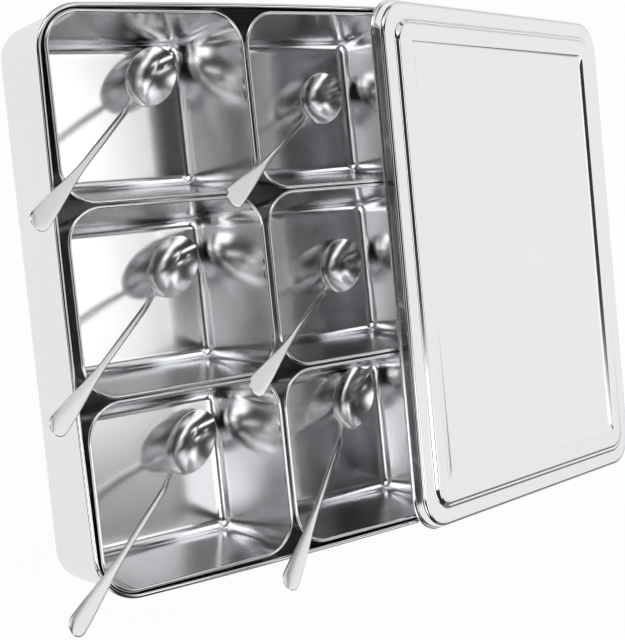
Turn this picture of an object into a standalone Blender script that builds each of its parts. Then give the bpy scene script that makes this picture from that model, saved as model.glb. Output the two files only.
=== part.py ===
"""A steel spice box: an outer box with a rolled rim, six loose bins in two columns, a spoon in each bin, and a lid
taken off that leans on the box's right side. Lengths are in metres, +Z is up, and the origin is on the table under
the middle of the box. +Y is the way from the front row of bins to the back row."""

import math

import bmesh
import bpy
from mathutils import Matrix, Vector

MM = 0.001

# Gaps that neighbouring pieces keep
SEAT_GAP = 0.3 * MM

# Outer box. Its length and width run between the centre lines of the rolled rim.
BOX_LENGTH = 300.0 * MM
BOX_WIDTH = 242.2 * MM
BOX_HEIGHT = 55.1 * MM
BOX_SHEET = 1.0 * MM
BOX_BEAD = 1.5 * MM
BOX_CORNER = 22.9 * MM
BOX_FOOT_CORNER = 18.8 * MM
BOX_DRAFT = 1.9 * MM
BOX_FILLET = 5.0 * MM
LONG_SIDE_BOW = 1.8 * MM
SHORT_SIDE_BOW = 1.3 * MM

# Bins. Their rims stand a little proud of the box's rim.
COLUMNS = 2
ROWS = 3
BIN_PROUD = 2.0 * MM
BIN_SHEET = 0.8 * MM
BIN_BEAD = 1.0 * MM
BIN_FILLET = 7.0 * MM
BIN_DRAFT = 6.9 * MM
BIN_FLOOR_CORNER = 0.7 * MM
CORNER_EASE = 4.4 * MM
RIM_SPACE_WIDE = 2.8 * MM
RIM_SPACE_LONG = 3.2 * MM
COLUMN_SPACE = 3.2 * MM
ROW_SPACE = 2.5 * MM

# How far each bin has slid in its space, right and back, counted by rows from the back left
BIN_SLIDES = (
    (0.25 * MM, 0.15 * MM),
    (0.3 * MM, 0.2 * MM),
    (0.75 * MM, 0.0),
    (2.0 * MM, 0.2 * MM),
    (-0.25 * MM, -0.05 * MM),
    (0.3 * MM, -0.15 * MM),
)

# Spoons. The handle's length runs from the bowl's neck to its end. It leaves the neck at one pitch and bends over
# to another.
BOWL_LENGTH = 45.7 * MM
BOWL_WIDTH = 28.7 * MM
BOWL_DEPTH = 8.2 * MM
BOWL_SHEET = 0.9 * MM
BOWL_PITCH = math.radians(15.8)
HANDLE_LENGTH = 123.8 * MM
HANDLE_PITCH = math.radians(24.7)
HANDLE_DROOP = 1.5 * MM
NECK_RISE = math.radians(48.0)
NECK_WIDTH = 3.4 * MM
NECK_THICKNESS = 2.8 * MM
NECK_BEND = 16.0 * MM
WAIST_WIDTH = 3.8 * MM
HANDLE_WIDTH = 12.0 * MM
HANDLE_THICKNESS = 1.9 * MM
FLARE_START = 58.0 * MM
FLARE_END = 112.0 * MM
END_ROUND = 6.0 * MM

# Where each spoon's neck is, as shares of its bin's half width and half length, which way its handle leads, and how
# far the spoon has rolled about that way
SPOON_LAYS = (
    (0.135, 0.158, math.radians(-143.0), math.radians(2.7)),
    (0.053, -0.096, math.radians(-150.4), math.radians(5.7)),
    (0.133, 0.041, math.radians(-146.7), math.radians(2.6)),
    (0.052, -0.148, math.radians(-150.5), math.radians(7.4)),
    (0.136, 0.052, math.radians(-147.8), math.radians(2.0)),
    (0.111, 0.139, math.radians(-137.4), math.radians(8.0)),
)

# Lid. Insets run inwards from its outline, and heights run up from its flange. The raised ring's outer slope is
# steep and its inner one gentle, and each is given by half of its width.
LID_SHEET = 0.8 * MM
LID_FIT_WIDE = 0.3 * MM
LID_FIT_LONG = 2.3 * MM
LID_FLANGE = 1.5 * MM
LID_ROLL = 0.9 * MM
LID_HEIGHT = 8.4 * MM
LID_CORNER = 22.0 * MM
LID_DRAFT = 0.4 * MM
LID_SHOULDER = 1.8 * MM
RING_OUTER_INSET = 13.9 * MM
RING_INNER_INSET = 26.1 * MM
RING_RISE = 1.6 * MM
RING_SLOPE = 0.9 * MM
RING_FALL = 6.0 * MM
PANEL_CORNER = 4.0 * MM

# How the lid leans: its far flange is on the table this far outside the box's side, and it is turned a little
LID_STAND = 211.0 * MM
LID_SLIDE = 0.6 * MM
LID_TURN = math.radians(-0.9)
STEEPEST_LEAN = 45.0
LEAN_STEP = 0.5

# How finely round shapes are divided
CORNER_STEPS = 5
SIDE_STEPS = 4
RIM_STEPS = 10
FILLET_STEPS = 3
BEAD_STEPS = 7
BOWL_STEPS = 9
HANDLE_STEPS = 14
SECTION_STEPS = 6

# Sizes that follow from those above
BEAD_HEIGHT = BOX_HEIGHT - BOX_BEAD
BIN_WIDTH = (BOX_WIDTH - 2 * RIM_SPACE_WIDE - (COLUMNS - 1) * COLUMN_SPACE) / COLUMNS
BIN_LENGTH = (BOX_LENGTH - 2 * RIM_SPACE_LONG - (ROWS - 1) * ROW_SPACE) / ROWS
BIN_CORNER = BOX_CORNER - CORNER_EASE
BIN_FOOT_CORNER = BIN_FILLET + BIN_FLOOR_CORNER
BIN_BASE = BOX_SHEET + SEAT_GAP
BIN_RIM = BEAD_HEIGHT + BIN_PROUD
BIN_TOP = BIN_RIM + BIN_BEAD
BIN_FLOOR = BIN_BASE + BIN_SHEET
HANDLE_RUN = HANDLE_LENGTH * math.cos(HANDLE_PITCH)
SECTION_POINTS = 2 * (SECTION_STEPS + 1)
LID_FOOT = BOX_WIDTH / 2 + LID_STAND


def material(name, colour, roughness):
    """A metal with a colour and a roughness."""
    made = bpy.data.materials.new(name)
    made.use_nodes = True
    shader = made.node_tree.nodes["Principled BSDF"]
    shader.inputs["Base Color"].default_value = (*colour, 1.0)
    shader.inputs["Metallic"].default_value = 1.0
    shader.inputs["Roughness"].default_value = roughness
    return made


def arc(first, last, steps):
    """Angles in radians from first to last degrees, both included."""
    return [math.radians(first + (last - first) * step / steps) for step in range(steps + 1)]


def rounded_ring(half_x, half_y, corner, height, side_steps=1, bow_x=0.0, bow_y=0.0):
    """Points of a rounded rectangle, anticlockwise. A bow moves the middle of a side out, as a parabola along it."""
    quarters = []
    for quarter, (sign_x, sign_y) in enumerate(((1, 1), (-1, 1), (-1, -1), (1, -1))):
        middle = Vector((sign_x * (half_x - corner), sign_y * (half_y - corner)))
        angles = arc(90 * quarter, 90 * quarter + 90, CORNER_STEPS)
        quarters.append([middle + corner * Vector((math.cos(angle), math.sin(angle))) for angle in angles])
    points = []
    for number, quarter in enumerate(quarters):
        following = quarters[(number + 1) % 4][0]
        points += quarter
        points += [quarter[-1].lerp(following, step / side_steps) for step in range(1, side_steps)]
    for point in points:
        along_x = point.x / half_x
        along_y = point.y / half_y
        point.x += bow_x * along_x * (1 - along_y * along_y)
        point.y += bow_y * along_y * (1 - along_x * along_x)
    return [Vector((point.x, point.y, height)) for point in points]


def loft(name, rings, collection, finish):
    """A closed solid whose skin runs from ring to ring. The first and the last ring are filled."""
    mesh = bpy.data.meshes.new(name)
    shape = bmesh.new()
    loops = [[shape.verts.new(point) for point in ring] for ring in rings]
    count = len(rings[0])
    for lower, upper in zip(loops, loops[1:]):
        for index in range(count):
            following = (index + 1) % count
            shape.faces.new((lower[index], lower[following], upper[following], upper[index]))
    shape.faces.new(reversed(loops[0]))
    shape.faces.new(loops[-1])
    bmesh.ops.recalc_face_normals(shape, faces=shape.faces)
    shape.to_mesh(mesh)
    shape.free()
    mesh.shade_smooth()
    mesh.set_sharp_from_angle(angle=math.radians(40))
    mesh.materials.append(finish)
    made = bpy.data.objects.new(name, mesh)
    collection.objects.link(made)
    return made


def pan_rings(foot, rim, height, sheet, bead, fillet, side_steps=1, bow=(0.0, 0.0)):
    """Rings of a drawn pan with a rolled rim, from the middle of its underside round the rim to its floor. foot and
    rim are (half x, half y, corner): the outer wall face where the bottom fillet ends, and the bead's centre line."""
    outer = bead - sheet
    foot_line = [size + outer for size in foot]
    inner_fillet = fillet - sheet

    def ring(share, outward, level):
        half_x, half_y, corner = [low + (high - low) * share + outward for low, high in zip(foot_line, rim)]
        return rounded_ring(half_x, half_y, corner, level, side_steps, bow[0] * share, bow[1] * share)

    rings = []
    for angle in arc(0, 90, FILLET_STEPS):
        rings.append(ring(0, -outer - fillet * (1 - math.sin(angle)), fillet * (1 - math.cos(angle))))
    meeting = math.degrees(math.atan2(-math.sqrt(bead * bead - outer * outer), -outer))
    for angle in arc(meeting, 180, BEAD_STEPS):
        rings.append(ring(1, bead * math.cos(angle), height + bead * math.sin(angle)))
    for angle in arc(90, 0, FILLET_STEPS):
        rings.append(ring(0, -bead - inner_fillet * (1 - math.sin(angle)), sheet + inner_fillet * (1 - math.cos(angle))))
    return rings


def make_box(collection, finish):
    rim = (BOX_WIDTH / 2, BOX_LENGTH / 2, BOX_CORNER)
    inward = BOX_BEAD - BOX_SHEET + BOX_DRAFT
    foot = (rim[0] - inward, rim[1] - inward, BOX_FOOT_CORNER)
    bow = (LONG_SIDE_BOW, SHORT_SIDE_BOW)
    rings = pan_rings(foot, rim, BEAD_HEIGHT, BOX_SHEET, BOX_BEAD, BOX_FILLET, SIDE_STEPS, bow)
    return loft("outer_box", rings, collection, finish)


def bin_places():
    """The middle of each bin's base, by rows from the back left."""
    places = []
    for number, (slide_x, slide_y) in enumerate(BIN_SLIDES):
        column = number % COLUMNS - (COLUMNS - 1) / 2
        row = (ROWS - 1) / 2 - number // COLUMNS
        x = column * (BIN_WIDTH + COLUMN_SPACE) + slide_x
        y = row * (BIN_LENGTH + ROW_SPACE) + slide_y
        places.append(Vector((x, y, BIN_BASE)))
    return places


def make_bins(collection, finish):
    rim = (BIN_WIDTH / 2, BIN_LENGTH / 2, BIN_CORNER)
    outer = BIN_BEAD - BIN_SHEET
    foot = (rim[0] - outer - BIN_DRAFT, rim[1] - outer - BIN_DRAFT, BIN_FOOT_CORNER)
    rings = pan_rings(foot, rim, BIN_RIM - BIN_BASE, BIN_SHEET, BIN_BEAD, BIN_FILLET)
    bins = []
    for number, place in enumerate(bin_places(), 1):
        made = loft(f"bin_{number}", rings, collection, finish)
        made.location = place
        bins.append(made)
    return bins


def ease(value):
    """Runs smoothly from 0 to 1 as the value does, and stays level outside."""
    value = min(max(value, 0.0), 1.0)
    return value * value * (3 - 2 * value)


def spoon_section(along, level, half_width, sag, thickness, roundness):
    """One cross-section of a spoon, over the top from one edge to the other and back below."""
    top = []
    bottom = []
    for angle in arc(0, 180, SECTION_STEPS):
        side = -math.cos(angle)
        middle = level - sag * (1 - side * side)
        half = thickness / 2 * math.sqrt(1 - roundness * side * side)
        top.append(Vector((along, half_width * side, middle + half)))
        bottom.append(Vector((along, half_width * side, middle - half)))
    return top + bottom[::-1]


def handle_level(along):
    """Height of the handle's middle above the neck: it leaves steeply and bends over to the handle's pitch."""
    start = math.tan(NECK_RISE)
    final = math.tan(HANDLE_PITCH)
    bend = min(along, NECK_BEND)
    rise = start * bend + (final - start) * bend * bend / (2 * NECK_BEND) + final * (along - bend)
    past = max(along / HANDLE_RUN - 0.6, 0.0) / 0.4
    return rise - HANDLE_DROOP * past * past


def spoon_rings():
    """Sections of a spoon lying with its neck at the origin: its bowl dips along -X and its handle climbs along +X."""
    rings = []
    run = BOWL_LENGTH * math.cos(BOWL_PITCH)
    neck = NECK_WIDTH / 2
    for step in range(BOWL_STEPS):
        share = 0.5 - 0.5 * math.cos(math.pi * (step + 0.35) / (BOWL_STEPS + 0.3))
        along = -run * (1 - share)
        oval = math.sqrt(1 - (2 * share - 1) ** 2)
        half_width = BOWL_WIDTH / 2 * oval
        sag = BOWL_DEPTH * oval * oval
        late = ease((share - 0.8) / 0.2)
        half_width = max(half_width, neck)
        thickness = BOWL_SHEET + (NECK_THICKNESS - BOWL_SHEET) * late
        rings.append(spoon_section(along, along * math.tan(BOWL_PITCH), half_width, sag, thickness, 0.85 * late))
    for step in range(HANDLE_STEPS + 1):
        share = step / HANDLE_STEPS
        along = HANDLE_RUN * (1 - (1 - share) ** 1.35)
        waist = min(along / FLARE_START, 1.0)
        flare = ease((along - FLARE_START) / (FLARE_END - FLARE_START))
        width = NECK_WIDTH + (WAIST_WIDTH - NECK_WIDTH) * waist + (HANDLE_WIDTH - WAIST_WIDTH) * flare
        half_width = width / 2
        left = (HANDLE_RUN - along) / END_ROUND
        if left < 1:
            half_width *= math.sqrt(1 - 0.96 * (1 - left) ** 2)
        thickness = NECK_THICKNESS + (HANDLE_THICKNESS - NECK_THICKNESS) * ease(along / FLARE_END)
        roundness = 0.85 - 0.3 * flare
        rings.append(spoon_section(along, handle_level(along), half_width, 0.0, thickness, roundness))
    return rings


def laid(points, roll, tilt):
    """The points rolled about the handle's way, and then with the handle's end raised by a tilt about the neck."""
    turn = Matrix.Rotation(-tilt, 3, "Y") @ Matrix.Rotation(roll, 3, "X")
    return [turn @ point for point in points]


def past_rim(x, y):
    """How far a place in a bin's own frame is past the inner edge of its bead. It is below 0 within that edge."""
    out_x = max(abs(x) - BIN_WIDTH / 2 + BIN_CORNER, 0.0)
    out_y = max(abs(y) - BIN_LENGTH / 2 + BIN_CORNER, 0.0)
    return math.hypot(out_x, out_y) - BIN_CORNER + BIN_BEAD


def over_rim(points, x, y, direction):
    """(distance from the neck, height above it) of the lowest point at which the handle crosses the rim's edge."""
    crossings = []
    turn = Matrix.Rotation(direction, 3, "Z")
    start = BOWL_STEPS * SECTION_POINTS
    for number in range(SECTION_POINTS):
        line = points[start + number::SECTION_POINTS]
        for near, far in zip(line, line[1:]):
            ends = [turn @ point for point in (near, far)]
            before, after = [past_rim(x + end.x, y + end.y) for end in ends]
            if before < 0 <= after:
                crossing = near.lerp(far, before / (before - after))
                crossings.append((crossing.z, crossing.x))
    level, distance = min(crossings)
    return distance, level


def spoon_pose(points, x, y, direction, roll):
    """(neck height, tilt) that rest the bowl on the floor and the handle on the rim, in the box's frame."""
    rim_top = BIN_TOP + SEAT_GAP
    tilt = 0.0
    for _ in range(20):
        turned = laid(points, roll, tilt)
        neck = BIN_FLOOR + SEAT_GAP - min(point.z for point in turned)
        distance, level = over_rim(turned, x, y, direction)
        tilt += 0.6 * math.atan2(rim_top - neck - level, distance)
    return neck, tilt


def make_spoons(collection, finish, bins):
    rings = spoon_rings()
    points = [point for ring in rings for point in ring]
    for number, (holder, (share_x, share_y, direction, roll)) in enumerate(zip(bins, SPOON_LAYS), 1):
        x = share_x * BIN_WIDTH / 2
        y = share_y * BIN_LENGTH / 2
        neck, tilt = spoon_pose(points, x, y, direction, roll)
        made = loft(f"spoon_{number}", rings, collection, finish)
        made.parent = holder
        made.location = (x, y, neck - BIN_BASE)
        made.rotation_euler = (roll, -tilt, direction)


def lid_outline():
    """(half x, half y) of the lid's flange: its skirt clears the bowed bead of the box that it covers."""
    beyond = BOX_BEAD + LID_SHEET + LID_FLANGE
    half_x = BOX_WIDTH / 2 + LONG_SIDE_BOW + LID_FIT_WIDE + beyond
    half_y = BOX_LENGTH / 2 + SHORT_SIDE_BOW + LID_FIT_LONG + beyond
    return half_x, half_y


def lid_profile():
    """(inset, height) of the lid's section, from its middle below, round the flange, to its middle above."""
    skirt = LID_FLANGE
    ring_top = LID_HEIGHT + RING_RISE
    foot = RING_OUTER_INSET - RING_SLOPE, LID_HEIGHT
    crest = RING_OUTER_INSET + RING_SLOPE, ring_top
    brow = RING_INNER_INSET - RING_FALL, ring_top
    panel = RING_INNER_INSET + RING_FALL, LID_HEIGHT
    below = [(inset, level - LID_SHEET) for inset, level in (panel, brow, crest, foot)]
    below.append((skirt + LID_DRAFT + LID_SHOULDER, LID_HEIGHT - LID_SHEET))
    below.append((skirt + LID_DRAFT + LID_SHEET, LID_HEIGHT - LID_SHOULDER))
    below.append((skirt + LID_SHEET, 0.0))
    roll = [(LID_ROLL * (1 - math.cos(turn)), LID_ROLL * (1 + math.sin(turn))) for turn in arc(-90, 90, 4)]
    above = [(skirt, 2 * LID_ROLL + LID_DRAFT / 2)]
    for turn in arc(0, 90, FILLET_STEPS):
        inset = skirt + LID_DRAFT + LID_SHOULDER * (1 - math.cos(turn))
        above.append((inset, LID_HEIGHT - LID_SHOULDER * (1 - math.sin(turn))))
    above += [foot, crest, brow, panel]
    return below + roll + above


def lid_place(lean):
    """Where the lid is when its far flange is on the table and it falls towards it by a lean."""
    half_x = lid_outline()[0]
    to_foot = Matrix.Translation((LID_ROLL - half_x, 0.0, -LID_ROLL))
    foot = Matrix.Translation((LID_FOOT - LID_ROLL, 0.0, LID_ROLL))
    leant = foot @ Matrix.Rotation(lean, 4, "Y") @ to_foot
    return Matrix.Translation((0.0, LID_SLIDE, 0.0)) @ Matrix.Rotation(LID_TURN, 4, "Z") @ leant


def rims_below():
    """(centre-line point, bead radius) all along the rims of the right column of bins and of the box."""
    ring = rounded_ring(BIN_WIDTH / 2, BIN_LENGTH / 2, BIN_CORNER, BIN_RIM, RIM_STEPS)
    moves = [Vector((place.x, place.y, 0.0)) for place in bin_places()[COLUMNS - 1::COLUMNS]]
    rims = [(point + move, BIN_BEAD) for move in moves for point in ring]
    bow = (LONG_SIDE_BOW, SHORT_SIDE_BOW)
    ring = rounded_ring(BOX_WIDTH / 2, BOX_LENGTH / 2, BOX_CORNER, BEAD_HEIGHT, RIM_STEPS, *bow)
    return rims + [(point, BOX_BEAD) for point in ring]


def lid_inset(point):
    """How far inside the lid's outline a point of the lid's own frame is."""
    half_x, half_y = lid_outline()
    into_x = abs(point.x) - half_x + LID_CORNER
    into_y = abs(point.y) - half_y + LID_CORNER
    if min(into_x, into_y) > 0:
        return LID_CORNER - math.hypot(into_x, into_y)
    return LID_CORNER - max(into_x, into_y)


def lid_gap(lean, rims, line):
    """The least gap between the beads and the line of the lid's section, measured in the section at each bead."""
    home = lid_place(lean).inverted()
    gaps = []
    for centre, bead in rims:
        point = home @ centre
        flat = Vector((lid_inset(point), point.z))
        for start, end in zip(line, line[1:]):
            along = end - start
            share = min(max((flat - start).dot(along) / along.length_squared, 0.0), 1.0)
            gaps.append((flat - start - share * along).length - bead)
    return min(gaps)


def lid_lean():
    """The lean at which the lid, let down from a steep one, comes to rest a seat gap clear of the rims."""
    rims = rims_below()
    middle = Vector((lid_outline()[0], LID_HEIGHT - LID_SHEET))
    line = [middle] + [Vector(place) for place in lid_profile()]
    lean = STEEPEST_LEAN
    while lean > LEAN_STEP and lid_gap(math.radians(lean - LEAN_STEP), rims, line) > SEAT_GAP:
        lean -= LEAN_STEP
    touching = lean - LEAN_STEP
    for _ in range(12):
        between = (touching + lean) / 2
        if lid_gap(math.radians(between), rims, line) > SEAT_GAP:
            lean = between
        else:
            touching = between
    return math.radians(lean)


def make_lid(collection, finish):
    half_x, half_y = lid_outline()
    rings = []
    for inset, level in lid_profile():
        corner = max(LID_CORNER - inset, PANEL_CORNER)
        rings.append(rounded_ring(half_x - inset, half_y - inset, corner, level))
    made = loft("lid", rings, collection, finish)
    made.matrix_world = lid_place(lid_lean())
    return made


def main():
    for old in list(bpy.data.objects):
        bpy.data.objects.remove(old)
    collection = bpy.data.collections.new("spice_box")
    bpy.context.scene.collection.children.link(collection)
    satin = material("satin_steel", (0.72, 0.73, 0.74), 0.28)
    polished = material("polished_steel", (0.78, 0.78, 0.78), 0.12)
    make_box(collection, satin)
    bins = make_bins(collection, satin)
    make_spoons(collection, polished, bins)
    make_lid(collection, satin)


main()
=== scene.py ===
"""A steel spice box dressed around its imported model.

The outer box, six bins, six spoons and the leaning lid are fine surfaces with their own steels, in a pale
studio. The file is laid out as a Blender add-on and is run as a script.
"""

import math

import bpy
import numpy as np
from bpy.props import FloatProperty, FloatVectorProperty, PointerProperty
from bpy.types import Operator, Panel, PropertyGroup
from mathutils import Matrix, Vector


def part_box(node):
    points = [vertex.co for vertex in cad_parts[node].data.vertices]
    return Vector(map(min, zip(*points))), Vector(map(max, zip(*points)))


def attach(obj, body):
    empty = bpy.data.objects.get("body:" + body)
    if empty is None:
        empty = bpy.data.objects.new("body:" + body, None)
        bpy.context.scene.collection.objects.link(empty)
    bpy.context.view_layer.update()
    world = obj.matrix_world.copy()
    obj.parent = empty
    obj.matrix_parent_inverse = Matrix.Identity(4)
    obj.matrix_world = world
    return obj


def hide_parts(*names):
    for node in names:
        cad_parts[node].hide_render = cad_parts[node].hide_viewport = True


bl_info = {
    "name": "Steel spice box",
    "version": (1, 0, 0),
    "blender": (4, 5, 0),
    "location": "3D View > Sidebar > Spice box",
    "description": "Builds the surfaces, steels and studio of a six-bin spice box around its packed frame",
    "category": "Add Mesh",
}

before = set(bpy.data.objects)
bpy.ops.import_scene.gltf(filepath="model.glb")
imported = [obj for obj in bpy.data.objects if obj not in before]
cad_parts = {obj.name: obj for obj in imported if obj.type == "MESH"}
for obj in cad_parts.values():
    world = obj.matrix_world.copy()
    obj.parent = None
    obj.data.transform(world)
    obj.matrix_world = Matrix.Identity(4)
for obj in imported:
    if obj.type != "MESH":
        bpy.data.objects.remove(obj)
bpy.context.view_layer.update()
MM = 0.001

# How each spoon lies in its bin, by rows from the back left: where its neck is from the middle of the bin's
# base, right, back and up; and in degrees, which way its handle leads, how far it has rolled and how far its
# handle is raised
SPOON_LAYS = (
    ((7.88 * MM, 7.60 * MM, 16.82 * MM), -143.0, 2.7, -0.55),
    ((3.09 * MM, -4.62 * MM, 18.16 * MM), -150.4, 5.7, 2.04),
    ((7.76 * MM, 1.97 * MM, 17.17 * MM), -146.7, 2.6, 0.10),
    ((3.03 * MM, -7.12 * MM, 18.29 * MM), -150.5, 7.4, 2.39),
    ((7.94 * MM, 2.50 * MM, 17.15 * MM), -147.8, 2.0, 0.05),
    ((6.48 * MM, 6.69 * MM, 16.99 * MM), -137.4, 8.0, 0.02),
)

# White with its alpha, as a shader's colour
WHITE = (1.0, 1.0, 1.0, 1.0)

# The studio's soft panels, measured as a ceiling is, by how far right and back a line leads for each unit
# that it rises: from and to, right; from and to, back; how soft the edges are; how strong the light is
PANELS = {
    "overhead": (0.36, 0.59, -0.14, 0.22, 0.02, 1.9),
    "front strip": (-0.36, 0.26, -0.26, -0.09, 0.02, 2.0),
    "back strip": (-0.09, 0.38, 0.47, 0.57, 0.06, 1.4),
    "back left strip": (-0.20, -0.11, 0.20, 0.40, 0.04, 1.5),
    "front right": (0.67, 1.14, -0.69, -0.17, 0.07, 1.7),
    "right strip": (1.12, 1.42, -0.35, 0.30, 0.03, 1.3),
    "right wall": (1.42, 12.0, -0.83, 0.70, 0.05, 0.98),
    "right back wall": (1.42, 12.0, 0.70, 30.0, 0.06, 0.80),
    "right front wall": (1.42, 12.0, -30.0, -0.83, 0.05, 0.20),
    "right horizon": (12.0, 60.0, -8.0, 8.0, 0.06, 0.98),
    "front left": (-1.57, -0.28, -2.0, -0.82, 0.22, 2.6),
    "front left low": (-1.67, -0.80, -0.82, -0.22, 0.06, 1.3),
    "back left": (-1.40, -0.31, 0.88, 1.54, 0.04, 3.0),
    "left": (-2.0, -1.14, -0.58, 0.28, 0.06, 0.95),
    "far back": (-0.25, 1.19, 0.44, 1.31, 0.05, 0.86),
}

# The least rise that a line to the studio counts with, so that the horizon stays within reach
LEAST_RISE = 0.02

# How finely surfaces are divided
CORNER_STEPS = 14
FILLET_STEPS = 8
BEAD_STEPS = 16
ROLL_STEPS = 8
BOWL_SECTIONS = 56
HANDLE_SECTIONS = 90
SECTION_HALF = 22
FALL_STEPS = 8
BEND_STEPS = 5

# Where points lie along straight stretches, as shares: near both ends too, so that shading keeps them flat
SIDE_SHARES = (0.012, 0.06, 0.18, 0.34, 0.5, 0.66, 0.82, 0.94, 0.988)
WALL_SHARES = (0.02, 0.1, 0.3, 0.5, 0.7, 0.9, 0.98)
FLAT_SHARES = (0.02, 0.2, 0.4, 0.6, 0.8, 0.92, 0.985)

# How square the edges of the spoon's sections are, as powers, at the bowl, the neck and the handle's end
BOWL_SQUARE = 8.0
NECK_SQUARE = 2.2
END_SQUARE = 2.0

# Where the bowl's first section lies and where the bowl begins to thicken, as shares of its length
TIP_SHARE = 0.012
THICKENING_SHARE = 0.86

# The power that crowds the handle's sections towards its end, the share of its run from which it droops, and
# the least part of its width that the end keeps, squared
CROWDING = 1.6
DROOP_SHARE = 0.6
END_LEAST = 0.0006

# How far the corners of the lid's profile are rounded: the ring's outer slope, its inner fall, below the
# skirt, the rolled edge, above that edge, and the shoulder as a multiple of its radius
SLOPE_BEND = 1.1 * MM
FALL_BEND = 0.35 * MM
SKIRT_BEND = 0.5 * MM
ROLL_BEND = 0.05 * MM
ROLL_TOP_BEND = 0.35 * MM
SHOULDER_STRETCH = 1.15

# How far inside the ring the lid's profile ends. A stretch of it longer than the second gets two more points,
# this near to its ends
PANEL_MARGIN = 6.0 * MM
LONG_STRETCH = 3.0 * MM
NEAR_END = 0.25 * MM

# The steels' cloudy and fine noise, how deep the fine one stands, how much either changes the roughness, and
# the share of colour that is left in the clouds
CLOUDS = {"Scale": 14.0, "Detail": 3.0, "Roughness": 0.5}
SPECKS = {"Scale": 900.0, "Detail": 2.0, "Roughness": 0.6}
GRAIN_STRENGTH = 0.35
BOX_GRAIN = 0.02 * MM
BIN_GRAIN = 0.025 * MM
LID_GRAIN = 0.02 * MM
SPOON_GRAIN = 0.002 * MM
SHEET_MOTTLE = 0.05
SPOON_MOTTLE = 0.03
SPECK_MOTTLE = 0.06
CLOUD_SHADE = 0.965

# Half the height over which a wall changes to its polished rim, and a height that a piece without a polished
# rim doesn't reach
RIM_BLEND = 0.6 * MM
NO_RIM = 1.0

# The floor: how bright its plain white is, how far it reaches and how far it lies below the object
FLOOR_GLOW = 1.02
FLOOR_REACH = 4.0
FLOOR_LEVEL = -0.2 * MM

# The camera: the long side of its frame in millimetres, and the nearest that it sees
FRAME_SIDE = 36.0
NEAREST = 10.0 * MM


def length(name, description, default):
    return FloatProperty(name=name, description=description, default=default, min=0.0, unit="LENGTH")


def turn(name, description, degrees):
    return FloatProperty(name=name, description=description, default=math.radians(degrees), subtype="ANGLE")


def level(name, description, default, highest=1.0):
    return FloatProperty(name=name, description=description, default=default, min=0.0, max=highest)


def colour(name, description, default):
    return FloatVectorProperty(name=name, description=description, default=default, size=3, subtype="COLOR")


class SpiceBoxOuter(PropertyGroup):
    """Sizes of the outer box."""

    long_side: length("Length", "Between the centre lines of the rolled rim, front to back", 300.0 * MM)
    short_side: length("Width", "Between the centre lines of the rolled rim, left to right", 242.2 * MM)
    bead_height: length("Bead height", "From the table to the centre line of the rolled rim", 53.6 * MM)
    sheet: length("Sheet", "Thickness of the steel", 1.0 * MM)
    bead: length("Bead", "Radius of the rolled rim", 1.5 * MM)
    corner: length("Corner", "Radius of the rim's corners", 22.9 * MM)
    foot_corner: length("Foot corner", "Radius of the base's corners", 19.3 * MM)
    draft: length("Draft", "How much each wall leans in from rim to base", 1.9 * MM)
    fillet: length("Fillet", "Radius between wall and base", 5.0 * MM)
    long_bow: length("Long bow", "How far the middle of a long side stands out", 1.8 * MM)
    short_bow: length("Short bow", "How far the middle of a short side stands out", 1.3 * MM)


class SpiceBoxBins(PropertyGroup):
    """Sizes of the bins."""

    long_side: length("Width", "Between the centre lines of the rim, left to right", 116.7 * MM)
    short_side: length("Length", "Between the centre lines of the rim, front to back", 96.2 * MM)
    bead_height: length("Bead height", "From a bin's base to the centre line of its rim", 54.3 * MM)
    sheet: length("Sheet", "Thickness of the steel", 0.8 * MM)
    bead: length("Bead", "Radius of the rim", 1.0 * MM)
    corner: length("Corner", "Radius of the rim's corners", 18.5 * MM)
    foot_corner: length("Foot corner", "Radius of the base's corners", 7.7 * MM)
    draft: length("Draft", "How much each wall leans in from rim to base", 6.9 * MM)
    fillet: length("Fillet", "Radius between wall and base", 7.0 * MM)


class SpiceBoxSpoons(PropertyGroup):
    """Sizes of the spoons."""

    bowl_length: length("Bowl length", "From the tip to the neck", 45.7 * MM)
    bowl_width: length("Bowl width", "Across the bowl's rim", 28.7 * MM)
    bowl_depth: length("Bowl depth", "From the rim's plane to the bottom", 8.2 * MM)
    bowl_sheet: length("Bowl sheet", "Thickness of the bowl", 0.9 * MM)
    bowl_pitch: turn("Bowl pitch", "How far the bowl's tip points down", 15.8)
    handle_length: length("Handle length", "From the neck to the handle's end", 123.8 * MM)
    neck_rise: turn("Neck rise", "How steeply the handle leaves the bowl", 48.0)
    handle_pitch: turn("Handle pitch", "How steeply the handle climbs after its bend", 24.7)
    droop: length("Droop", "How far the handle's end falls below a straight line", 1.5 * MM)
    neck_width: length("Neck width", "Width of the handle at the bowl", 3.4 * MM)
    neck_thickness: length("Neck thickness", "Thickness of the handle at the bowl", 2.8 * MM)
    neck_bend: length("Neck bend", "Length over which the handle bends to its pitch", 16.0 * MM)
    waist_width: length("Waist width", "Width of the handle's narrow part", 3.8 * MM)
    end_width: length("End width", "Width of the handle's flat end", 12.0 * MM)
    end_thickness: length("End thickness", "Thickness of the handle's flat end", 1.9 * MM)
    flare_start: length("Flare start", "Where the handle begins to widen", 58.0 * MM)
    flare_end: length("Flare end", "Where the handle is widest", 112.0 * MM)
    end_round: length("End round", "Length over which the end closes", 6.0 * MM)


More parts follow.
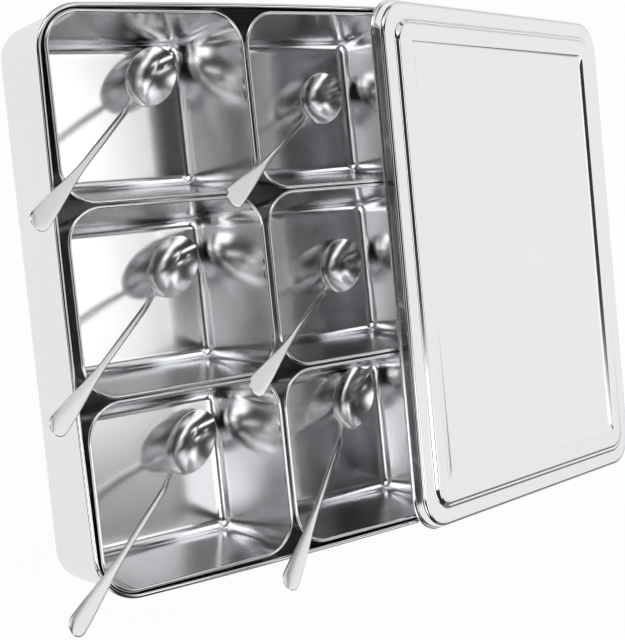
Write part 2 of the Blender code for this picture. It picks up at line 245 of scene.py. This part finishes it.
class SpiceBoxLid(PropertyGroup):
    """Sizes and lean of the lid."""

    half_width: length("Half width", "From the middle to the flange's edge, left to right", 127.0 * MM)
    half_length: length("Half length", "From the middle to the flange's edge, front to back", 157.4 * MM)
    sheet: length("Sheet", "Thickness of the steel", 0.8 * MM)
    flange: length("Flange", "How far the rolled edge stands out", 1.5 * MM)
    roll: length("Roll", "Radius of the rolled edge", 0.9 * MM)
    height: length("Height", "From the flange's underside to the border", 8.4 * MM)
    corner: length("Corner", "Radius of the flange's corners", 22.0 * MM)
    draft: length("Draft", "How much the skirt leans in", 0.4 * MM)
    shoulder: length("Shoulder", "Radius between skirt and border", 1.8 * MM)
    ring_outer: length("Ring outer inset", "From the flange's edge to the ring's outer slope", 13.9 * MM)
    ring_inner: length("Ring inner inset", "From the flange's edge to the ring's inner foot", 32.9 * MM)
    ring_rise: length("Ring rise", "How far the ring stands above the border", 1.6 * MM)
    ring_slope: length("Ring slope", "Half the width of the ring's outer slope", 1.0 * MM)
    ring_fall: length("Ring fall", "Width of the hollow fall from the ring's top to its inner foot", 8.0 * MM)
    panel_corner: length("Panel corner", "Radius of the centre panel's corners", 4.0 * MM)
    tightening: level("Tightening", "How much a corner's radius falls for each unit of inset", 0.7)
    lean: turn("Lean", "How steeply the lid falls to the right", 13.278)
    swing: turn("Swing", "How far the lid is turned about the upright", -0.9)
    place: FloatVectorProperty(
        name="Place",
        description="Middle of the flange's underside",
        default=(208.238 * MM, -2.671 * MM, 28.986 * MM),
        unit="LENGTH",
    )


class SpiceBoxSteel(PropertyGroup):
    """Colours and polish of the steels."""

    satin: colour("Satin steel", "Colour of the box, bins and lid", (0.835, 0.84, 0.855))
    polished: colour("Polished steel", "Colour of the spoons", (0.82, 0.82, 0.82))
    box_roughness: level("Box roughness", "Roughness of the outer box", 0.30)
    bin_roughness: level("Bin roughness", "Roughness of the bins", 0.20)
    lid_roughness: level("Lid roughness", "Roughness of the lid", 0.10)
    spoon_roughness: level("Spoon roughness", "Roughness of the spoons", 0.17)
    rim_roughness: level("Rim roughness", "Roughness of the rolled rims", 0.06)


class SpiceBoxStudio(PropertyGroup):
    """Camera, backdrop and light."""

    camera_place: FloatVectorProperty(
        name="Camera place",
        description="Where the camera stands",
        default=(-442.371 * MM, 23.887 * MM, 693.094 * MM),
        unit="LENGTH",
    )
    camera_turn: FloatVectorProperty(
        name="Camera turn",
        description="Turn about X, Y and Z from a view straight down",
        default=(math.radians(1.969), math.radians(-36.824), math.radians(-7.432)),
        subtype="EULER",
    )
    focal_length: FloatProperty(
        name="Focal length",
        description="For a frame whose long side is 36 mm",
        default=79.84,
        unit="CAMERA",
    )
    shift_x: FloatProperty(name="Shift X", description="Sideways shift of the frame", default=-0.01377)
    shift_y: FloatProperty(name="Shift Y", description="Upwards shift of the frame", default=-0.03931)
    power: level("Power", "What all panels are multiplied by", 1.0, 10.0)
    gloom: colour("Gloom", "What the dark parts of the studio give", (0.034, 0.029, 0.026))
    floor: colour("Floor", "Colour of the floor", (0.95, 0.95, 0.95))
    floor_white: level("Floor white", "Share of plain white in the floor where the camera sees it", 0.93)


SETTINGS = {
    "spice_box_outer": SpiceBoxOuter,
    "spice_box_bins": SpiceBoxBins,
    "spice_box_spoons": SpiceBoxSpoons,
    "spice_box_lid": SpiceBoxLid,
    "spice_box_steel": SpiceBoxSteel,
    "spice_box_studio": SpiceBoxStudio,
}


def ring_frame():
    """Once round a rounded rectangle: the shares of half width and half length at which each point's corner
    centre lies, and the cosine and sine of the way that the point faces."""
    signs = np.array([(1.0, 1.0), (-1.0, 1.0), (-1.0, -1.0), (1.0, -1.0)])
    following = np.roll(signs, -1, axis=0)
    quarter = np.arange(4.0)[:, None]
    corner = np.linspace(0.0, 1.0, CORNER_STEPS + 1)[None, :]
    slide = np.array(SIDE_SHARES)[None, :]
    angles = np.concatenate([quarter + corner, quarter + 1.0 + 0.0 * slide], axis=1)
    bends = signs[:, None, :] + 0.0 * corner[..., None]
    sides = signs[:, None, :] * (1.0 - slide[..., None]) + following[:, None, :] * slide[..., None]
    centres = np.concatenate([bends, sides], axis=1).reshape(-1, 2)
    angles = angles.ravel() * math.pi / 2
    return centres[:, 0], centres[:, 1], np.cos(angles), np.sin(angles)


def rounded_rings(half_x, half_y, corner, height, bow_x=0.0, bow_y=0.0):
    """A surface of rounded rectangles. Each row has its own half sizes, corner radius and height, and a point
    is its corner's centre plus the radius along its way. A bow moves a side's middle out by a parabola."""
    across, along, cosine, sine = ring_frame()
    half_x, half_y, corner, height = np.broadcast_arrays(half_x, half_y, corner, height)
    x = np.outer(half_x - corner, across) + np.outer(corner, cosine)
    y = np.outer(half_y - corner, along) + np.outer(corner, sine)
    share_x = x / half_x[:, None]
    share_y = y / half_y[:, None]
    x = x + np.broadcast_to(bow_x, half_x.shape)[:, None] * share_x * (1.0 - share_y**2)
    y = y + np.broadcast_to(bow_y, half_y.shape)[:, None] * share_y * (1.0 - share_x**2)
    return np.stack([x, y, height[:, None] + 0.0 * x], axis=-1)


def pan_surface(half_x, half_y, sizes, bow=(0.0, 0.0)):
    """A drawn pan with a rolled rim, from the middle of its underside over the rim to the middle of its
    floor. In its profile, both fillets and the bead are arcs, and the walls are straight lines."""
    outer = sizes.bead - sizes.sheet
    inner_fillet = sizes.fillet - sizes.sheet
    under = np.linspace(0.0, math.pi / 2, FILLET_STEPS + 1)
    over = under[::-1]
    start = math.atan2(-math.sqrt(sizes.bead**2 - outer**2), -outer)
    round_bead = np.linspace(start, math.pi, BEAD_STEPS + 1)
    outward = [-outer - sizes.fillet * (1.0 - np.sin(under)), sizes.bead * np.cos(round_bead)]
    outward.append(-sizes.bead - inner_fillet * (1.0 - np.sin(over)))
    height = [sizes.fillet * (1.0 - np.cos(under)), sizes.bead_height + sizes.bead * np.sin(round_bead)]
    height.append(sizes.sheet + inner_fillet * (1.0 - np.cos(over)))
    share = [0.0 * under, 0.0 * round_bead + 1.0, 0.0 * over]
    wall = np.array(WALL_SHARES)
    rows = [np.stack(row, axis=1) for row in zip(outward, height, share)]
    for number in (1, 0):
        below = rows[number][-1]
        above = rows[number + 1][0]
        rows.insert(number + 1, below + (above - below) * wall[:, None])
    section = np.concatenate(rows)
    foot = (half_x - sizes.draft, half_y - sizes.draft, sizes.foot_corner)
    rim = (half_x, half_y, sizes.corner)
    lines = [low + (high - low) * section[:, 2] + section[:, 0] for low, high in zip(foot, rim)]
    return with_flats(rounded_rings(*lines, section[:, 1], bow[0] * section[:, 2], bow[1] * section[:, 2]))


def with_flats(rings):
    """The surface with its first and last rows carried on level to near their middles, by shrinking them."""
    shrink = np.array(FLAT_SHARES)[:, None, None]
    scale = np.concatenate([np.repeat(shrink, 2, axis=2), 0.0 * shrink + 1.0], axis=2)
    return np.concatenate([rings[:1] * scale, rings, (rings[-1:] * scale)[::-1]])


def closed_mesh(name, rings):
    """A closed skin over rows of points. Each row joins up with itself, and the first and last rows close on
    their middle points. The skin is turned outwards by the sign of a volume that is summed over it."""
    rows, around = rings.shape[:2]
    points = np.concatenate([rings.reshape(-1, 3), rings[:1].mean(axis=1), rings[-1:].mean(axis=1)])
    here = np.arange(rows * around).reshape(rows, around)
    beside = np.roll(here, -1, axis=1)
    quads = np.stack([here[:-1], beside[:-1], beside[1:], here[1:]], axis=-1).reshape(-1, 4)
    first = np.stack([beside[0], here[0], 0 * here[0] + rows * around], axis=-1)
    last = np.stack([here[-1], beside[-1], 0 * here[-1] + rows * around + 1], axis=-1)
    corners = points[quads]
    volume = (np.cross(corners[:, 1] - corners[:, 0], corners[:, 2] - corners[:, 0]) * corners[:, 0]).sum()
    if volume < 0:
        quads, first, last = quads[:, ::-1], first[:, ::-1], last[:, ::-1]
    mesh = bpy.data.meshes.new(name)
    mesh.from_pydata(points.tolist(), [], quads.tolist() + first.tolist() + last.tolist())
    mesh.shade_smooth()
    made = bpy.data.objects.new(name, mesh)
    bpy.context.scene.collection.objects.link(made)
    return made


def eased(value):
    """0 below 0, 1 above 1, and a smooth cubic run between them."""
    value = np.clip(value, 0.0, 1.0)
    return value * value * (3.0 - 2.0 * value)


def mixed(first, second, share):
    """The first value at share 0, the second at share 1, and a straight line between them."""
    return first + (second - first) * share


def spoon_sections(along, level_line, half_width, sag, thickness, square):
    """Closed cross-sections of a spoon, over the top from edge to edge and back below. The middle line sags
    by a parabola, and the thickness is a rounded bar whose power says how square its edges are."""
    side = -np.cos(np.linspace(0.0, math.pi, SECTION_HALF + 1))[None, :]
    column = [value[:, None] for value in (along, level_line, half_width, sag, thickness, square)]
    along, level_line, half_width, sag, thickness, square = column
    middle = level_line - sag * (1.0 - side**2)
    half = thickness / 2 * np.maximum(1.0 - np.abs(side) ** square, 0.0) ** (1.0 / square)
    x = along + 0.0 * side
    y = half_width * side
    top = np.stack([x, y, middle + half], axis=-1)
    bottom = np.stack([x, y, middle - half], axis=-1)
    return np.concatenate([top, bottom[:, -2:0:-1]], axis=1)


def spoon_surface(sizes):
    """A spoon with its neck at the origin. The bowl is an ellipse whose depth is a parabola both ways. The
    handle leaves it steeply, bends over to its own pitch, and widens by a smooth step to a round end."""
    run = sizes.bowl_length * math.cos(sizes.bowl_pitch)
    share = 0.5 - 0.5 * np.cos(math.pi * np.linspace(TIP_SHARE, 1.0, BOWL_SECTIONS, endpoint=False))
    oval = np.sqrt(1.0 - (2.0 * share - 1.0) ** 2)
    late = eased((share - THICKENING_SHARE) / (1.0 - THICKENING_SHARE))
    bowl = [
        -run * (1.0 - share),
        -run * (1.0 - share) * math.tan(sizes.bowl_pitch),
        np.maximum(sizes.bowl_width / 2 * oval, (share > 0.5) * sizes.neck_width / 2),
        sizes.bowl_depth * oval**2,
        mixed(sizes.bowl_sheet, sizes.neck_thickness, late),
        mixed(BOWL_SQUARE, NECK_SQUARE, late),
    ]
    handle_run = sizes.handle_length * math.cos(sizes.handle_pitch)
    step = np.linspace(0.0, 1.0, HANDLE_SECTIONS)
    along = handle_run * (1.0 - (1.0 - step) ** CROWDING)
    start = math.tan(sizes.neck_rise)
    final = math.tan(sizes.handle_pitch)
    bend = np.minimum(along, sizes.neck_bend)
    rise = start * bend + (final - start) * bend**2 / (2 * sizes.neck_bend) + final * (along - bend)
    past = np.maximum(along / handle_run - DROOP_SHARE, 0.0) / (1.0 - DROOP_SHARE)
    flare = eased((along - sizes.flare_start) / (sizes.flare_end - sizes.flare_start))
    width = mixed(sizes.neck_width, sizes.waist_width, np.minimum(along / sizes.flare_start, 1.0))
    width = width + (sizes.end_width - sizes.waist_width) * flare
    left = np.minimum((handle_run - along) / sizes.end_round, 1.0)
    width = width * np.sqrt(np.maximum(1.0 - (1.0 - left) ** 2, END_LEAST))
    handle = [
        along,
        rise - sizes.droop * past**2,
        width / 2,
        0.0 * along,
        mixed(sizes.neck_thickness, sizes.end_thickness, eased(along / sizes.flare_end)),
        mixed(NECK_SQUARE, END_SQUARE, flare),
    ]
    return spoon_sections(*[np.concatenate(pair) for pair in zip(bowl, handle)])


def bent(profile, radius):
    """A line of points whose corners are rounded: each becomes a quadratic curve that starts and ends the
    given length before and after it, or half way to its neighbour where that is nearer."""
    back = profile[:-2] - profile[1:-1]
    ahead = profile[2:] - profile[1:-1]
    share = np.linspace(0.0, 1.0, BEND_STEPS)[None, :, None]
    ends = []
    for arm in (back, ahead):
        reach = np.linalg.norm(arm, axis=1, keepdims=True)
        ends.append(profile[1:-1] + arm / reach * np.minimum(radius[:, None], reach / 2))
    curve = ends[0][:, None] * (1 - share) ** 2 + 2 * share * (1 - share) * profile[1:-1, None]
    curve = (curve + ends[1][:, None] * share**2).reshape(-1, 2)
    return np.concatenate([profile[:1], curve, profile[-1:]])


def supported(line, longest, near):
    """A line of points with two more near the ends of each stretch that is longer than a limit, so that
    smooth shading keeps that stretch flat."""
    ahead = np.diff(line, axis=0)
    reach = np.linalg.norm(ahead, axis=1)
    where = np.flatnonzero(reach > longest)
    step = ahead[where] / reach[where, None] * near
    added = np.stack([line[where] + step, line[where + 1] - step], axis=1).reshape(-1, 2)
    return np.insert(line, np.repeat(where + 1, 2), added, axis=0)


def lid_surface(sizes):
    """The lid, lying flat: a line of insets and heights, rounded at its corners and carried round a rounded
    rectangle, from the middle below, round the rolled edge, to the middle above. The ring falls to its inner
    foot by a parabola that is level at the foot."""
    high = sizes.height
    ring_top = high + sizes.ring_rise
    fall = np.linspace(0.0, 1.0, FALL_STEPS + 1)
    inner = np.stack([sizes.ring_inner - sizes.ring_fall * fall, high + sizes.ring_rise * fall**2], axis=1)
    outer = np.array([
        (sizes.ring_outer + sizes.ring_slope, ring_top),
        (sizes.ring_outer - sizes.ring_slope, high),
    ])
    relief = np.concatenate([inner, outer])
    relief_bend = np.full(len(relief), SLOPE_BEND)
    relief_bend[: FALL_STEPS + 1] = FALL_BEND
    skirt = sizes.flange + sizes.draft
    below = np.array([
        (skirt + sizes.sheet, high - sizes.sheet),
        (sizes.flange + sizes.sheet, 0.0),
    ])
    edge = np.linspace(-math.pi / 2, math.pi / 2, ROLL_STEPS + 1)
    roll = np.stack([sizes.roll * (1 - np.cos(edge)), sizes.roll * (1 + np.sin(edge))], axis=1)
    above = np.array([(sizes.flange, 2 * sizes.roll), (skirt, high)])
    middle_below = np.array([(sizes.ring_inner + PANEL_MARGIN, high - sizes.sheet)])
    middle_above = middle_below + (0.0, sizes.sheet)
    lowered = relief - (0.0, sizes.sheet)
    profile = np.concatenate([middle_below, lowered, below, roll, above, relief[::-1], middle_above])
    skirt_bend = (sizes.shoulder - sizes.sheet, SKIRT_BEND)
    edge_bend = (ROLL_TOP_BEND, sizes.shoulder * SHOULDER_STRETCH)
    roll_bend = np.full(len(roll), ROLL_BEND)
    radius = np.concatenate([relief_bend, skirt_bend, roll_bend, edge_bend, relief_bend[::-1]])
    line = supported(bent(profile, radius), LONG_STRETCH, NEAR_END)
    inset = line[:, 0]
    corner = np.maximum(sizes.corner - sizes.tightening * inset, sizes.panel_corner)
    return with_flats(rounded_rings(sizes.half_width - inset, sizes.half_length - inset, corner, line[:, 1]))


def moved(rings, place, rotation=None):
    """The surface turned by a matrix and then moved."""
    if rotation is not None:
        rings = rings @ np.array(rotation).T
    return rings + np.array(place)


def base_middle(node):
    """Where the middle of the underside of a node's box is in the frame."""
    low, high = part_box(node)
    return np.array([(low.x + high.x) / 2, (low.y + high.y) / 2, low.z])


class Field:
    """A shader socket that can be used in sums. Each operator adds one Math node."""

    def __init__(self, sheet, socket):
        self.sheet = sheet
        self.socket = socket

    def worked(self, operation, *values):
        return self.sheet.node("ShaderNodeMath", {"operation": operation}, dict(enumerate(values)))

    def __add__(self, other):
        return self.worked("ADD", self, other)

    def __radd__(self, other):
        return self.worked("ADD", other, self)

    def __sub__(self, other):
        return self.worked("SUBTRACT", self, other)

    def __rsub__(self, other):
        return self.worked("SUBTRACT", other, self)

    def __mul__(self, other):
        return self.worked("MULTIPLY", self, other)

    def __rmul__(self, other):
        return self.worked("MULTIPLY", other, self)

    def __truediv__(self, other):
        return self.worked("DIVIDE", self, other)


class Sheet:
    """A node tree that is written as Python."""

    def __init__(self, tree):
        self.tree = tree
        tree.nodes.clear()

    def node(self, kind, settings=None, sockets=None, output=0):
        """Adds a node, sets its settings, then its sockets, and gives the output that is asked for."""
        made = self.tree.nodes.new(kind)
        for name, value in (settings or {}).items():
            setattr(made, name, value)
        for name, value in (sockets or {}).items():
            if isinstance(value, Field):
                self.tree.links.new(value.socket, made.inputs[name])
            else:
                made.inputs[name].default_value = value
        return Field(self, made.outputs[output]) if len(made.outputs) else None

    def step(self, value, low, high):
        """0 where the value is below low, 1 where it is above high, and smooth between them."""
        limits = {"Value": value, "From Min": low, "From Max": high, "To Min": 0.0, "To Max": 1.0}
        return self.node("ShaderNodeMapRange", {"interpolation_type": "SMOOTHSTEP"}, limits)

    def between(self, value, low, high, soft):
        """1 between two values and 0 outside them, with soft edges."""
        return self.step(value, low - soft, low + soft) * (1.0 - self.step(value, high - soft, high + soft))

    def split(self, vector):
        """The three parts of a vector."""
        parts = self.node("ShaderNodeSeparateXYZ", None, {0: vector})
        node = parts.socket.node
        return [Field(self, socket) for socket in node.outputs]

    def mixed(self, share, first, second):
        """A colour between two colours, which are the Mix node's sockets 6 and 7 and its output 2."""
        sockets = {"Factor": share, 6: first, 7: second}
        return self.node("ShaderNodeMix", {"data_type": "RGBA"}, sockets, 2)

    def noise(self, vector, kind):
        """Smooth noise around one half."""
        return self.node("ShaderNodeTexNoise", None, {"Vector": vector, **kind})


def steel(name, tint, roughness, mottle, grain, rim_from, rim_roughness):
    """Stainless steel. Its roughness wanders with a cloudy noise, a fine noise gives it the grain of rolled
    sheet, and above a height the rolled rim is brighter polished."""
    made = bpy.data.materials.new(name)
    made.use_nodes = True
    sheet = Sheet(made.node_tree)
    place = sheet.node("ShaderNodeTexCoord", output="Object")
    height = sheet.split(place)[2]
    cloud = sheet.noise(place, CLOUDS)
    speck = sheet.noise(place, SPECKS)
    rim = sheet.step(height, rim_from - RIM_BLEND, rim_from + RIM_BLEND)
    body = roughness + mottle * (cloud - 0.5) + SPECK_MOTTLE * (speck - 0.5)
    rough = body + rim * (rim_roughness - body)
    dark = [part * CLOUD_SHADE for part in tint]
    shade = sheet.mixed(cloud, (*dark, 1.0), (*tint, 1.0))
    relief = {"Strength": GRAIN_STRENGTH, "Distance": grain, "Height": speck}
    bump = sheet.node("ShaderNodeBump", None, relief)
    sockets = {"Base Color": shade, "Metallic": 1.0, "Roughness": rough, "Normal": bump}
    shader = sheet.node("ShaderNodeBsdfPrincipled", None, sockets)
    sheet.node("ShaderNodeOutputMaterial", None, {"Surface": shader})
    return made


def dressed(piece, material, body, node):
    """Gives a piece its steel, ties it to the body that it moves with and hides the node that it stands for.
    """
    piece.data.materials.append(material)
    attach(piece, body)
    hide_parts(node)


class SPICEBOX_OT_outer(Operator):
    """Make the outer box with its bowed sides and rolled rim."""

    bl_idname = "spicebox.outer"
    bl_label = "Outer box"

    def execute(self, context):
        sizes = context.scene.spice_box_outer
        steels = context.scene.spice_box_steel
        bow = (sizes.long_bow, sizes.short_bow)
        surface = pan_surface(sizes.short_side / 2, sizes.long_side / 2, sizes, bow)
        piece = closed_mesh("outer_box_shell", surface)
        rim = (sizes.bead_height - sizes.bead, steels.rim_roughness)
        finish = steel("box_steel", steels.satin, steels.box_roughness, SHEET_MOTTLE, BOX_GRAIN, *rim)
        dressed(piece, finish, "box", "outer_box")
        return {"FINISHED"}


class SPICEBOX_OT_bins(Operator):
    """Make the six tapered bins."""

    bl_idname = "spicebox.bins"
    bl_label = "Bins"

    def execute(self, context):
        sizes = context.scene.spice_box_bins
        steels = context.scene.spice_box_steel
        surface = pan_surface(sizes.long_side / 2, sizes.short_side / 2, sizes)
        rim = (base_middle("bin_1")[2] + sizes.bead_height - sizes.bead, steels.rim_roughness)
        finish = steel("bin_steel", steels.satin, steels.bin_roughness, SHEET_MOTTLE, BIN_GRAIN, *rim)
        for number in range(1, len(SPOON_LAYS) + 1):
            piece = closed_mesh(f"bin_{number}_shell", moved(surface, base_middle(f"bin_{number}")))
            dressed(piece, finish, f"bin_{number}", f"bin_{number}")
        return {"FINISHED"}


class SPICEBOX_OT_spoons(Operator):
    """Make the six spoons, each lying in its bin."""

    bl_idname = "spicebox.spoons"
    bl_label = "Spoons"

    def execute(self, context):
        sizes = context.scene.spice_box_spoons
        steels = context.scene.spice_box_steel
        surface = spoon_surface(sizes)
        rough = steels.spoon_roughness
        finish = steel("spoon_steel", steels.polished, rough, SPOON_MOTTLE, SPOON_GRAIN, NO_RIM, rough)
        for number, (neck, direction, roll, tilt) in enumerate(SPOON_LAYS, 1):
            place = base_middle(f"bin_{number}") + np.array(neck)
            rotation = Matrix.Rotation(math.radians(direction), 3, "Z")
            rotation = rotation @ Matrix.Rotation(math.radians(-tilt), 3, "Y")
            rotation = rotation @ Matrix.Rotation(math.radians(roll), 3, "X")
            piece = closed_mesh(f"spoon_{number}_body", moved(surface, place, rotation))
            dressed(piece, finish, f"spoon_{number}", f"spoon_{number}")
        return {"FINISHED"}


class SPICEBOX_OT_lid(Operator):
    """Make the pressed lid, leaning on the box's right side."""

    bl_idname = "spicebox.lid"
    bl_label = "Lid"

    def execute(self, context):
        sizes = context.scene.spice_box_lid
        steels = context.scene.spice_box_steel
        rotation = Matrix.Rotation(sizes.swing, 3, "Z") @ Matrix.Rotation(sizes.lean, 3, "Y")
        piece = closed_mesh("lid_cover", moved(lid_surface(sizes), sizes.place, rotation))
        rough = steels.lid_roughness
        finish = steel("lid_steel", steels.satin, rough, SHEET_MOTTLE, LID_GRAIN, NO_RIM, rough)
        dressed(piece, finish, "lid", "lid")
        return {"FINISHED"}


def studio_world(studio):
    """The studio as light from each way. Ways above the horizon are measured as a ceiling is, by how far
    right and back a line leads for each unit that it rises."""
    world = bpy.data.worlds.new("studio")
    world.use_nodes = True
    bpy.context.scene.world = world
    sheet = Sheet(world.node_tree)
    x, y, z = sheet.split(sheet.node("ShaderNodeTexCoord", output="Generated"))
    up = z.worked("MAXIMUM", z, LEAST_RISE)
    right = x / up
    back = y / up
    light = 0.0 * z
    for right_from, right_to, back_from, back_to, soft, strength in PANELS.values():
        across = sheet.between(right, right_from, right_to, soft)
        panel = across * sheet.between(back, back_from, back_to, soft)
        light = light + studio.power * strength * panel
    dim = sheet.mixed(light.worked("MINIMUM", light, 1.0), (*studio.gloom, 1.0), WHITE)
    bright = light.worked("MAXIMUM", light, 1.0)
    lamp = sheet.node("ShaderNodeBackground", None, {"Color": dim, "Strength": bright})
    plain = sheet.node("ShaderNodeBackground", None, {"Color": WHITE, "Strength": 1.0})
    seen = sheet.node("ShaderNodeLightPath", output="Is Camera Ray")
    shader = sheet.node("ShaderNodeMixShader", None, {0: seen, 1: lamp, 2: plain})
    sheet.node("ShaderNodeOutputWorld", None, {"Surface": shader})


def floor_material(studio):
    """A white floor. Part of it is plain white where the camera or a reflection sees it, and the rest takes
    light and the object's shadow."""
    made = bpy.data.materials.new("floor_white")
    made.use_nodes = True
    sheet = Sheet(made.node_tree)
    seen = sheet.node("ShaderNodeLightPath", output="Is Camera Ray")
    for name in ("Is Glossy Ray", "Is Transmission Ray"):
        seen = seen.worked("MAXIMUM", seen, sheet.node("ShaderNodeLightPath", output=name))
    matt = sheet.node("ShaderNodeBsdfDiffuse", None, {"Color": (*studio.floor, 1.0)})
    white = sheet.node("ShaderNodeEmission", None, {"Color": WHITE, "Strength": FLOOR_GLOW})
    shader = sheet.node("ShaderNodeMixShader", None, {0: seen * studio.floor_white, 1: matt, 2: white})
    sheet.node("ShaderNodeOutputMaterial", None, {"Surface": shader})
    return made


class SPICEBOX_OT_studio(Operator):
    """Make the floor, the light and the camera."""

    bl_idname = "spicebox.studio"
    bl_label = "Studio"

    def execute(self, context):
        studio = context.scene.spice_box_studio
        ways = ((-1, -1), (1, -1), (1, 1), (-1, 1))
        corners = [(across * FLOOR_REACH, along * FLOOR_REACH, FLOOR_LEVEL) for across, along in ways]
        mesh = bpy.data.meshes.new("floor")
        mesh.from_pydata(corners, [], [(0, 1, 2, 3)])
        mesh.materials.append(floor_material(studio))
        floor = bpy.data.objects.new("floor", mesh)
        context.scene.collection.objects.link(floor)
        studio_world(studio)
        camera = bpy.data.cameras.new("camera")
        camera.lens = studio.focal_length
        camera.sensor_width = FRAME_SIDE
        camera.shift_x = studio.shift_x
        camera.shift_y = studio.shift_y
        camera.clip_start = NEAREST
        stand = bpy.data.objects.new("camera", camera)
        stand.matrix_world = Matrix.LocRotScale(studio.camera_place, studio.camera_turn, None)
        context.scene.collection.objects.link(stand)
        context.scene.camera = stand
        context.scene.view_settings.view_transform = "Standard"
        return {"FINISHED"}


MAKERS = (SPICEBOX_OT_outer, SPICEBOX_OT_bins, SPICEBOX_OT_spoons, SPICEBOX_OT_lid, SPICEBOX_OT_studio)


class SPICEBOX_PT_panel(Panel):
    """Lists the makers of the spice box."""

    bl_idname = "SPICEBOX_PT_panel"
    bl_label = "Spice box"
    bl_space_type = "VIEW_3D"
    bl_region_type = "UI"
    bl_category = "Spice box"

    def draw(self, context):
        for maker in MAKERS:
            self.layout.operator(maker.bl_idname)
        for name in SETTINGS:
            settings = getattr(context.scene, name)
            box = self.layout.box()
            for key in settings.bl_rna.properties.keys():
                if key not in ("rna_type", "name"):
                    box.prop(settings, key)


def register():
    for group in (*SETTINGS.values(), *MAKERS, SPICEBOX_PT_panel):
        bpy.utils.register_class(group)
    for name, group in SETTINGS.items():
        setattr(bpy.types.Scene, name, PointerProperty(type=group))


def unregister():
    for name in SETTINGS:
        delattr(bpy.types.Scene, name)
    for group in (SPICEBOX_PT_panel, *MAKERS[::-1], *list(SETTINGS.values())[::-1]):
        bpy.utils.unregister_class(group)


def main():
    register()
    bpy.ops.spicebox.outer()
    bpy.ops.spicebox.bins()
    bpy.ops.spicebox.spoons()
    bpy.ops.spicebox.lid()
    bpy.ops.spicebox.studio()


if __name__ == "__main__":
    main()
